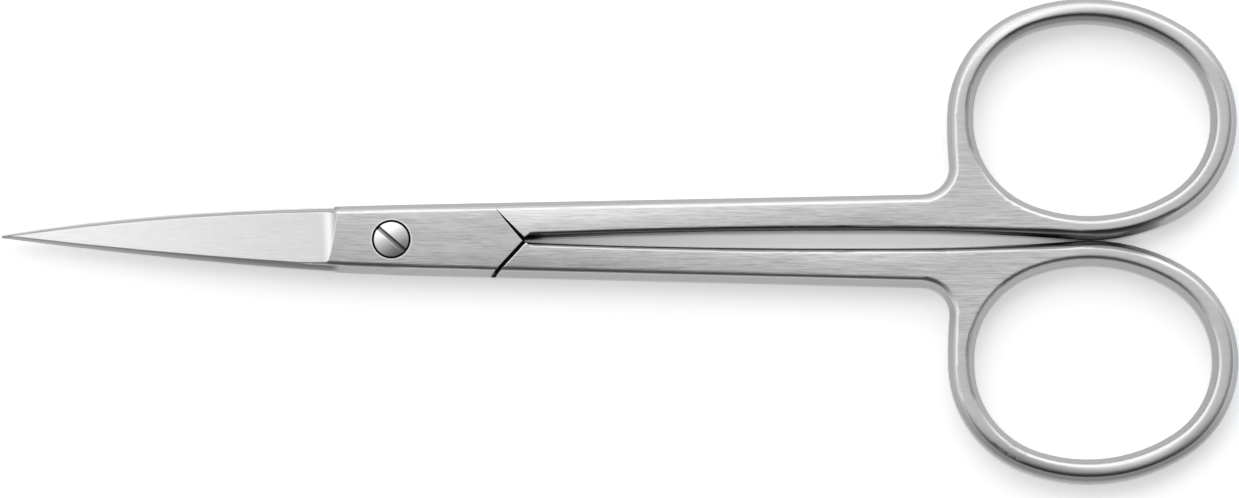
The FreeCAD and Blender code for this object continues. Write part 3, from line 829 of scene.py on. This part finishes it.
def shown_brushing(tree, finish, groups, zone, offset):
    """Brushing as it shows: full on the shank and joint, faint on blade, rings and edges."""
    grain = add_group(
        tree, groups.brushing, "Brushing",
        length=finish.streak_length, width=finish.streak_width, offset=offset,
    )
    blade_share = add_blend(tree, "Less on the blade", zone.blade, 1.0, BLADE_BRUSHING)
    ring_share = add_blend(tree, "Less on the rings", zone.ring["Ring"], 1.0, RING_BRUSHING)
    share = add_product(tree, "Brushed share", zone.face, blade_share, ring_share)
    share = add_blend(tree, "Least on edges", share, EDGE_BRUSHING, 1.0)
    return add_math(tree, "MULTIPLY", "Brushing shown", grain["Pattern"], share)


# Brightness of the blade's upper flank, painted darker, beside its lower one, and of the painted shade
# line on its roundings
UPPER_FLANK_SHARE = 0.36
BEVEL_LINE = 0.92
# Heights, in millimetres, over which the painted shade on the blade's flank darkens, the painted light
# from the floor fades between the shanks, and the painted shade on the upper bevel of a ring starts
UPPER_FLANK = (1.8, 3.0)
FLOOR_LIGHT = (1.5, 0.4)
UPPER_BEVEL = (2.45, 2.85)
# Reach of the painted shade on the edges between the shanks: off the centre line, and behind the lap
BETWEEN_REACH = (1.9, 1.1)
BETWEEN_START = (CROTCH, CROTCH + 1.0)
# Where a ring's painted bevel shade turns from the light over its band, and how alike a broken edge's
# direction and the surface's own one are where the edge's painted line starts and is full
BEVEL_TURN = (0.2, -0.2)
EDGE_LINE = (0.995, 0.9)


def half_tones(tree, finish, zone, edges):
    """Brightness of each place that is painted darker or brighter than the faces, as painted light and
    shade.
    """
    # Painted shade on the flanks, darker towards the top on the blade
    upper = add_range(tree, "Upper flank", zone.up, *UPPER_FLANK)
    upper = add_math(tree, "MULTIPLY", "Upper blade flank", upper, zone.blade)
    flank = finish.flank_share
    flank = add_blend(tree, "Darker upwards", upper, flank, flank * UPPER_FLANK_SHARE)
    flank = add_blend(tree, "Flank tone", zone.off_flank, flank, 1.0)

    # Painted shade on the edges between the shanks
    near = add_range(tree, "Near the centre line", zone.height, *BETWEEN_REACH)
    behind = add_range(tree, "Behind the lap", zone.along, *BETWEEN_START)
    between = add_math(tree, "MULTIPLY", "Between the shanks", near, behind)
    edge = add_product(tree, "Edges between them", between, zone.off_face, zone.off_flank)
    edge = add_blend(tree, "Dim edges", edge, 1.0, finish.between_share)
    # Painted light from the floor, low on the flanks between the shanks
    low = add_range(tree, "Low on the flank", zone.up, *FLOOR_LIGHT)
    low = add_math(tree, "MULTIPLY", "Low between the shanks", low, between)
    low = add_blend(tree, "Light from the floor", low, 1.0, finish.low_flank)

    # Painted shade on the far arcs' upper bevels, on the side turned from the light
    away = add_math(tree, "MULTIPLY", "Band on this side", zone.ring["Band"], zone.side)
    away = add_range(tree, "Turned from the light", away, *BEVEL_TURN)
    upper = add_range(tree, "Upper bevel", zone.up, *UPPER_BEVEL)
    bevel = add_product(tree, "Far arc's bevel", zone.ring["Far"], away, upper, zone.off_face)
    bevel = add_blend(tree, "Dim bevel", bevel, 1.0, finish.far_bevel)

    # Painted shade line below the blade's edges and painted highlight line on its face
    shape = add_node(tree, "ShaderNodeNewGeometry", "Shape")
    alike = add_vector(tree, "DOT_PRODUCT", "Facing alike", shape.outputs["Normal"], edges)
    at_edge = add_range(tree, "Near an edge", alike, *EDGE_LINE)
    at_edge = add_math(tree, "MULTIPLY", "Near the blade's edge", at_edge, zone.blade)
    line = add_blend(tree, "Line below", zone.off_flank, finish.line_below, BEVEL_LINE)
    line = add_blend(tree, "Line below or on the face", zone.face, line, finish.line_on_face)
    line = add_blend(tree, "Edge line", at_edge, 1.0, line)

    # Painted highlight on the lit edges of the faces
    lit = add_math(tree, "MULTIPLY", "Lit edges of the face", zone.lit_edge, zone.face)
    lit = add_blend(tree, "Lit edge tone", lit, 1.0, finish.lit_edge)
    # Painted shade in the lap gap, the crotch and round the screw's seat darkens the colour
    painted_shade_factor = add_blend(tree, "Painted shade brightness", zone.painted_shade, 1.0, finish.painted_shade_tone)
    return flank, edge, low, bevel, line, lit, painted_shade_factor


# How much the brushing changes the roughness, and the roughness where shade is painted in the gaps and
# round the seat
BRUSHED_ROUGHNESS = 0.25
SHADE_ROUGHNESS = 0.6


def half_steel(name, finish, groups, side, offset):
    """Steel of one half: brushed faces, finer blade grind, buffed edges, and painted light and shade.
    """
    material, tree, shader = new_steel(name)
    zone = half_zones(tree, groups, side)
    edges = broken_edges(tree, finish, zone)
    pattern = shown_brushing(tree, finish, groups, zone, offset)

    contrast = finish.streak_contrast
    brightness = add_math(tree, "MULTIPLY_ADD", "Brushed brightness", pattern, contrast, 1.0)
    tones = half_tones(tree, finish, zone, edges)
    brightness = add_product(tree, "Brightness", brightness, *tones)
    colour = add_vector(tree, "SCALE", "Steel tone", tuple(finish.tone), scale=brightness)
    feed(tree, shader.inputs["Base Color"], colour)

    rough = add_blend(
        tree, "Face or blade roughness", zone.blade, finish.face_roughness, finish.blade_roughness
    )
    rough = add_blend(tree, "Roughness", zone.face, finish.edge_roughness, rough)
    rough = add_math(tree, "MULTIPLY_ADD", "Uneven roughness", pattern, BRUSHED_ROUGHNESS, rough)
    rough = add_blend(tree, "Roughness in painted shade", zone.painted_shade, rough, SHADE_ROUGHNESS)
    feed(tree, shader.inputs["Roughness"], rough)

    rolled = add_group(
        tree, groups.rolled, "Rolled faces",
        side=side, roll=finish.face_roll, blade_turn=finish.blade_turn, faces=zone.face,
        surface=edges,
    )
    bump = add_node(tree, "ShaderNodeBump", "Brushing depth")
    bump.inputs["Strength"].default_value = 1.0
    bump.inputs["Distance"].default_value = finish.streak_depth
    feed(tree, bump.inputs["Height"], pattern)
    feed(tree, bump.inputs["Normal"], rolled["Normal"])
    feed(tree, shader.inputs["Normal"], bump.outputs["Normal"])
    arrange(tree)
    return material


# The screw's head, in millimetres: depth of its rim below the front face, depth over which the
# painted shade sets in below the rim, radius inside the rim, a height above the screw's end face, then
# across the slot where its painted light changes, its painted highlight beside its middle and how that
# highlight fades
HEAD_SINK = 0.08
HEAD_FADE = 0.14
HEAD_INSIDE = 1.6
END_HEIGHT = 1.0
SLOT_LIGHT = (0.12, -0.1)
SLOT_EDGE = 0.265
SLOT_EDGE_FADE = (0.06, 0.03)
# Brightness of the slot's painted lit side, of its painted highlight and of the rim's painted shade,
# and how much the turning rings change the brightness and the roughness
SLOT_TONE = 0.5
SLOT_EDGE_TONE = 1.45
RIM_TONE = 0.1
RINGS_TONE = 0.2
RINGS_ROUGHNESS = 0.1


def screw_steel(name, finish):
    """Steel of the screw, with fine turning rings about its axis, and light and shade painted on its
    slot and rim.
    """
    material, tree, shader = new_steel(name)
    place, _, _, up = add_place(tree)
    flat = add_vector(tree, "MULTIPLY", "Across the axis", place, (1.0, 1.0, 0.0))
    radius = add_vector(tree, "LENGTH", "Radius", flat)
    spacing = finish.ring_spacing / MILLIMETRE
    rings = add_node(tree, "ShaderNodeTexNoise", "Turning rings", noise_dimensions="1D")
    feed(tree, rings.inputs["W"], add_math(tree, "DIVIDE", "Ring number", radius, spacing))
    rings.inputs["Scale"].default_value = 1.0
    rings.inputs["Detail"].default_value = 2.0
    rings = add_math(tree, "SUBTRACT", "Rings about zero", rings.outputs["Fac"], 0.5)

    rim = THICKNESS - HEAD_SINK
    on_head = add_math(tree, "GREATER_THAN", "Above the end", up, END_HEIGHT)
    # Painted shade in the slot and seat below the rim, lighter towards the slot's lower left side
    sunk = add_range(tree, "Below the rim", up, rim, rim - HEAD_FADE)
    sunk = add_math(tree, "MULTIPLY", "In the slot or seat", sunk, on_head)
    across_slot = (-math.sin(SLOT_TURN), math.cos(SLOT_TURN), 0.0)
    across = add_vector(tree, "DOT_PRODUCT", "Across the slot", place, across_slot)
    slot = add_range(tree, "Light on the slot", across, *SLOT_LIGHT, finish.painted_shade_tone, SLOT_TONE)
    inside = add_math(tree, "LESS_THAN", "Inside the rim", radius, HEAD_INSIDE)
    slot = add_blend(tree, "Slot or seat tone", inside, finish.painted_shade_tone, slot)
    slot = add_blend(tree, "Slot with painted shade", sunk, 1.0, slot)
    # Painted highlight along one edge of the slot
    edge = add_math(tree, "ADD", "From the slot's lit edge", across, SLOT_EDGE)
    edge = add_math(tree, "ABSOLUTE", "Off the lit edge", edge)
    edge = add_range(tree, "Lit edge", edge, *SLOT_EDGE_FADE, 1.0, SLOT_EDGE_TONE)
    # The head's rim outside its dome is painted dark as shade
    outside = add_math(tree, "GREATER_THAN", "Outside the dome", radius, HEAD_INSIDE)
    outside = add_math(tree, "MULTIPLY", "Rim of the head", outside, on_head)
    outside = add_blend(tree, "Rim tone", outside, 1.0, RIM_TONE)
    brightness = add_math(tree, "MULTIPLY_ADD", "Turned brightness", rings, RINGS_TONE, 1.0)
    brightness = add_product(tree, "Brightness", brightness, slot, edge, outside)
    colour = add_vector(tree, "SCALE", "Screw tone", tuple(finish.tone), scale=brightness)
    feed(tree, shader.inputs["Base Color"], colour)
    rough = add_math(tree, "MULTIPLY_ADD", "Roughness", rings, RINGS_ROUGHNESS, finish.roughness)
    feed(tree, shader.inputs["Roughness"], rough)

    shape = add_node(tree, "ShaderNodeNewGeometry", "Shape")
    dome = add_vector(tree, "SCALE", "Lean of the dome", flat, scale=finish.head_lean / SEAT_RADIUS)
    feed(tree, shader.inputs["Normal"], add_lean(tree, shape.outputs["Normal"], dome))
    arrange(tree)
    return material


def dress(node_name, material):
    """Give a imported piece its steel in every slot."""
    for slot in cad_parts[node_name].material_slots:
        slot.material = material


# How far the back half's brushing is moved, in metres, so that it differs from the front half's
BACK_OFFSET = 0.37


class SCISSORS_OT_finish_halves(bpy.types.Operator):
    """Brush the faces and buff the edges of both halves"""

    bl_idname = "scissors.finish_halves"
    bl_label = "Finish the Halves"
    bl_options = {"REGISTER", "UNDO"}

    def execute(self, context):
        finish = context.scene.scissors_steel
        ring_place = ring_group()
        groups = SimpleNamespace(
            brushing=brushing_group(),
            level=level_group(),
            ring=ring_place,
            rolled=rolled_faces_group(ring_place),
            joint=joint_group(),
        )
        dress("front_half", half_steel("Front Half Steel", finish, groups, 1.0, 0.0))
        dress("back_half", half_steel("Back Half Steel", finish, groups, -1.0, BACK_OFFSET))
        return {"FINISHED"}


class SCISSORS_OT_finish_screw(bpy.types.Operator):
    """Give the pivot screw its turned finish"""

    bl_idname = "scissors.finish_screw"
    bl_label = "Finish the Screw"
    bl_options = {"REGISTER", "UNDO"}

    def execute(self, context):
        dress("screw", screw_steel("Screw Steel", context.scene.scissors_screw))
        return {"FINISHED"}


# Openness above the floor between which its glow sets in, looked at over this distance, so that
# narrow gaps in the scissors stay dark
GAP_OPENNESS = (0.06, 0.11)
GAP_DISTANCE = 0.02
FLOOR_ROUGHNESS = 0.9


def white_floor(look):
    """Matt white material that is lifted to white where the camera or a reflection sees it."""
    paper = bpy.data.materials.new("White Floor")
    paper.use_nodes = True
    tree = paper.node_tree
    shader = tree.nodes["Principled BSDF"]
    shader.inputs["Base Color"].default_value = (*look.floor_tone, 1.0)
    shader.inputs["Roughness"].default_value = FLOOR_ROUGHNESS
    shader.inputs["Specular IOR Level"].default_value = 0.0
    path = add_node(tree, "ShaderNodeLightPath", "What sees the floor").outputs
    seen = add_math(tree, "MAXIMUM", "Camera or gloss", path["Is Camera Ray"], path["Is Glossy Ray"])
    seen = add_math(tree, "MAXIMUM", "Or through glass", seen, path["Is Transmission Ray"])
    openness = add_node(tree, "ShaderNodeAmbientOcclusion", "Openness above", samples=8)
    openness.inputs["Distance"].default_value = GAP_DISTANCE
    in_open = add_range(tree, "Outside narrow gaps", openness.outputs["AO"], *GAP_OPENNESS)
    glow = add_node(tree, "ShaderNodeEmission", "White")
    lift = add_product(tree, "White share", seen, in_open, look.floor_glow)
    feed(tree, glow.inputs["Strength"], lift)
    together = add_node(tree, "ShaderNodeAddShader", "Lifted floor")
    feed(tree, together.inputs[0], shader.outputs["BSDF"])
    feed(tree, together.inputs[1], glow.outputs["Emission"])
    feed(tree, tree.nodes["Material Output"].inputs["Surface"], together.outputs["Shader"])
    arrange(tree)
    return paper


def add_floor(look):
    """White floor under the scissors."""
    half = look.floor_width / 2
    bottom = CAD_BOX[0][2]
    corners = [(x, y, bottom) for x, y in ((-half, -half), (half, -half), (half, half), (-half, half))]
    mesh = bpy.data.meshes.new("studio_floor")
    mesh.from_pydata(corners, [], [(0, 1, 2, 3)])
    mesh.materials.append(white_floor(look))
    floor = bpy.data.objects.new("studio_floor", mesh)
    bpy.context.scene.collection.objects.link(floor)


# The light round the scissors, from the horizon at the picture's bottom over the top of the
# studio to the horizon at the picture's top: degrees from straight up, then brightness
LIGHT_ARCH = (
    (-90, 0.5),
    (-76, 0.32),
    (-60, 0.14),
    (-40, 0.08),
    (-22, 0.12),
    (-12, 0.27),
    (-5, 0.47),
    (0, 0.62),
    (6, 0.77),
    (12, 0.97),
    (17, 1.28),
    (23, 1.85),
    (32, 1.95),
    (44, 1.6),
    (60, 1.3),
    (76, 1.0),
    (90, 0.75),
)
# Where the light changes towards the left and right sides, and the sides' largest share there
SIDE_START = (0.3, 0.95)
SIDE_SHARE = 0.75


def add_light(look):
    """World light that changes from the picture's bottom to its top left, and to the sides."""
    world = bpy.data.worlds.new("Studio Light")
    bpy.context.scene.world = world
    world.use_nodes = True
    tree = world.node_tree
    tree.nodes.clear()
    where = add_node(tree, "ShaderNodeTexCoord", "Direction").outputs["Generated"]
    softbox = (-math.sin(look.light_turn), math.cos(look.light_turn), 0.0)
    toward = add_vector(tree, "DOT_PRODUCT", "Towards the softbox", where, softbox)
    parts = add_node(tree, "ShaderNodeSeparateXYZ", "Direction parts")
    feed(tree, parts.inputs[0], where)
    angle = add_math(tree, "ARCTAN2", "Angle from straight up", toward, parts.outputs["Z"])
    share = add_math(
        tree, "MULTIPLY_ADD", "Share of the arch", angle, 1 / math.pi, 0.5, clamp=True
    )
    arch = add_node(tree, "ShaderNodeValToRGB", "Light arch")
    feed(tree, arch.inputs["Fac"], share)
    ramp = arch.color_ramp
    ramp.interpolation = "CARDINAL"
    while len(ramp.elements) > 1:
        ramp.elements.remove(ramp.elements[-1])
    brightest = max(level for _, level in LIGHT_ARCH)
    for number, (degrees, level) in enumerate(LIGHT_ARCH):
        position = degrees / 180 + 0.5
        stop = ramp.elements[0] if number == 0 else ramp.elements.new(position)
        stop.position = position
        stop.color = (*[level / brightest] * 3, 1.0)
    sideways = add_math(tree, "ABSOLUTE", "Towards the sides", parts.outputs["X"])
    sideways = add_range(tree, "Side share", sideways, *SIDE_START, 0.0, SIDE_SHARE)
    whole = add_node(tree, "ShaderNodeMix", "Arch and sides", data_type="RGBA")
    feed(tree, whole.inputs["Factor"], sideways)
    feed(tree, whole.inputs["A"], arch.outputs["Color"])
    whole.inputs["B"].default_value = (*[look.side_light / brightest] * 3, 1.0)
    background = add_node(tree, "ShaderNodeBackground", "Light")
    background.inputs["Strength"].default_value = brightest
    feed(tree, background.inputs["Color"], whole.outputs["Result"])
    output = add_node(tree, "ShaderNodeOutputWorld", "World")
    feed(tree, output.inputs["Surface"], background.outputs["Background"])
    arrange(tree)


# Middle of the picture on the scissors: along them, and below their centre line as seen
VIEW_MIDDLE = 21.2 * MILLIMETRE
VIEW_DROP = 0.72 * MILLIMETRE
SENSOR_WIDTH = 36.0
CLIP_DISTANCES = (0.01, 20.0)


def add_camera(look):
    """Camera almost straight above, leaning towards the picture's bottom."""
    low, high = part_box("front_half")
    middle = Vector((VIEW_MIDDLE, 0.0, (low.z + high.z) / 2))
    upward = Vector((0.0, math.cos(look.camera_tilt), math.sin(look.camera_tilt)))
    outward = Vector((0.0, -math.sin(look.camera_tilt), math.cos(look.camera_tilt)))
    target = middle - upward * VIEW_DROP
    lens = bpy.data.cameras.new("picture_camera")
    lens.type = "PERSP"
    lens.sensor_fit = "HORIZONTAL"
    lens.sensor_width = SENSOR_WIDTH
    lens.lens = SENSOR_WIDTH * look.camera_distance / look.view_width
    lens.clip_start, lens.clip_end = CLIP_DISTANCES
    camera = bpy.data.objects.new("picture_camera", lens)
    bpy.context.scene.collection.objects.link(camera)
    across = upward.cross(outward)
    turn = Matrix((across, upward, outward)).transposed().to_4x4()
    camera.matrix_world = Matrix.Translation(target + outward * look.camera_distance) @ turn
    bpy.context.scene.camera = camera


class SCISSORS_OT_build_studio(bpy.types.Operator):
    """Lay the white floor and set the light and the camera"""

    bl_idname = "scissors.build_studio"
    bl_label = "Build the Studio"
    bl_options = {"REGISTER", "UNDO"}

    def execute(self, context):
        look = context.scene.scissors_studio
        add_floor(look)
        add_light(look)
        add_camera(look)
        context.scene.view_settings.view_transform = "Standard"
        return {"FINISHED"}


class SCISSORS_PT_parts(bpy.types.Panel):
    """Finishes and studio of the scissors"""

    bl_label = "Iris Scissors"
    bl_space_type = "VIEW_3D"
    bl_region_type = "UI"
    bl_category = "Scissors"

    def draw(self, context):
        layout = self.layout
        for settings, operator in (
            (context.scene.scissors_steel, "scissors.finish_halves"),
            (context.scene.scissors_screw, "scissors.finish_screw"),
            (context.scene.scissors_studio, "scissors.build_studio"),
        ):
            column = layout.box().column()
            for name in settings.__annotations__:
                column.prop(settings, name)
            column.operator(operator)


CLASSES = (
    SteelFinish,
    ScrewFinish,
    StudioLook,
    SCISSORS_OT_finish_halves,
    SCISSORS_OT_finish_screw,
    SCISSORS_OT_build_studio,
    SCISSORS_PT_parts,
)


def register():
    """Register the classes and keep the settings on the scene."""
    for item in CLASSES:
        bpy.utils.register_class(item)
    bpy.types.Scene.scissors_steel = bpy.props.PointerProperty(type=SteelFinish)
    bpy.types.Scene.scissors_screw = bpy.props.PointerProperty(type=ScrewFinish)
    bpy.types.Scene.scissors_studio = bpy.props.PointerProperty(type=StudioLook)


def unregister():
    """Remove the settings and the classes."""
    del bpy.types.Scene.scissors_studio
    del bpy.types.Scene.scissors_screw
    del bpy.types.Scene.scissors_steel
    for item in reversed(CLASSES):
        bpy.utils.unregister_class(item)


def main():
    """Dress the scissors and set up the studio."""
    register()
    bpy.ops.scissors.finish_halves()
    bpy.ops.scissors.finish_screw()
    bpy.ops.scissors.build_studio()


if __name__ == "__main__":
    main()
